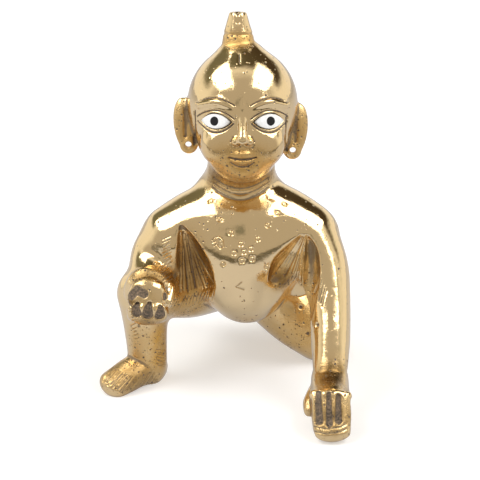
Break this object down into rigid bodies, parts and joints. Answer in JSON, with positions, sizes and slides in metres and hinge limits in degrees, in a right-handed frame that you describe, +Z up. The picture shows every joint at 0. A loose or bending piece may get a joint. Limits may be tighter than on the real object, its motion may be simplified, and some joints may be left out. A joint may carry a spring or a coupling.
{
  "type": "laddu gopal idol",
  "caption": "Cast and polished brass figure of a crawling child deity, holding a sweet ball on its raised knee, with inlaid enamel eyes; stands on hand, foot and shin.",
  "frame": {"origin": "on the ground, under the middle of the figure's box", "axes": "+Z up; the figure faces -Y, and its own left side is at +X"},
  "size_m": [0.0654, 0.0958, 0.1],
  "materials": {
    "brass": "cast brass, filed and hand polished, dark in the grooves and rough in the hollows",
    "eye_enamel": "glossy white enamel plate with a black painted pupil"
  },
  "bodies": {
    "root": {"idol_casting": "brass", "right_eye": "eye_enamel", "left_eye": "eye_enamel"}
  },
  "joints": []
}
